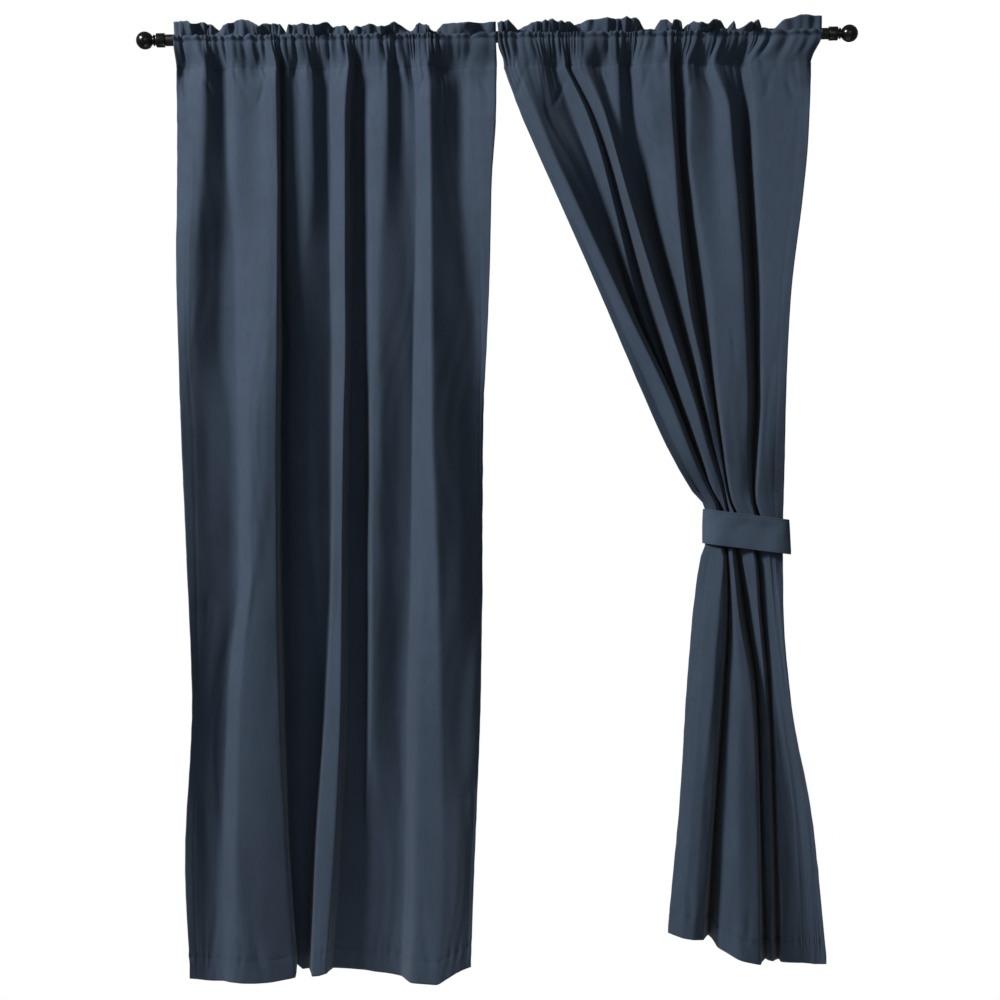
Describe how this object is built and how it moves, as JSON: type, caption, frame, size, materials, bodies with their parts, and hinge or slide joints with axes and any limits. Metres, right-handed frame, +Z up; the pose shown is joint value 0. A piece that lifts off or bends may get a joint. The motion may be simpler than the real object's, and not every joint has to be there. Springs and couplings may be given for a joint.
{
  "type": "pair of curtain panels on a rod",
  "caption": "Gathered rod-pocket curtain panels sharing a slim rod with ball finials, one panel hanging straight and the other drawn aside by a flat tieback.",
  "frame": {"origin": "middle of the rod, on its axis", "axes": "+Z up, the rod runs along X, and -Y is the room side that the curtains are seen from"},
  "size_m": [1.6096, 0.1376, 2.1315],
  "materials": {
    "panel_cloth": "matte plain weave",
    "tieback_cloth": "matte plain weave",
    "rod_paint": "semi-gloss",
    "finial_paint": "gloss"
  },
  "bodies": {
    "root": {"panel_left": "panel_cloth", "panel_right": "panel_cloth", "tieback": "tieback_cloth", "rod": "rod_paint", "finial_left": "finial_paint", "finial_right": "finial_paint"}
  },
  "joints": []
}
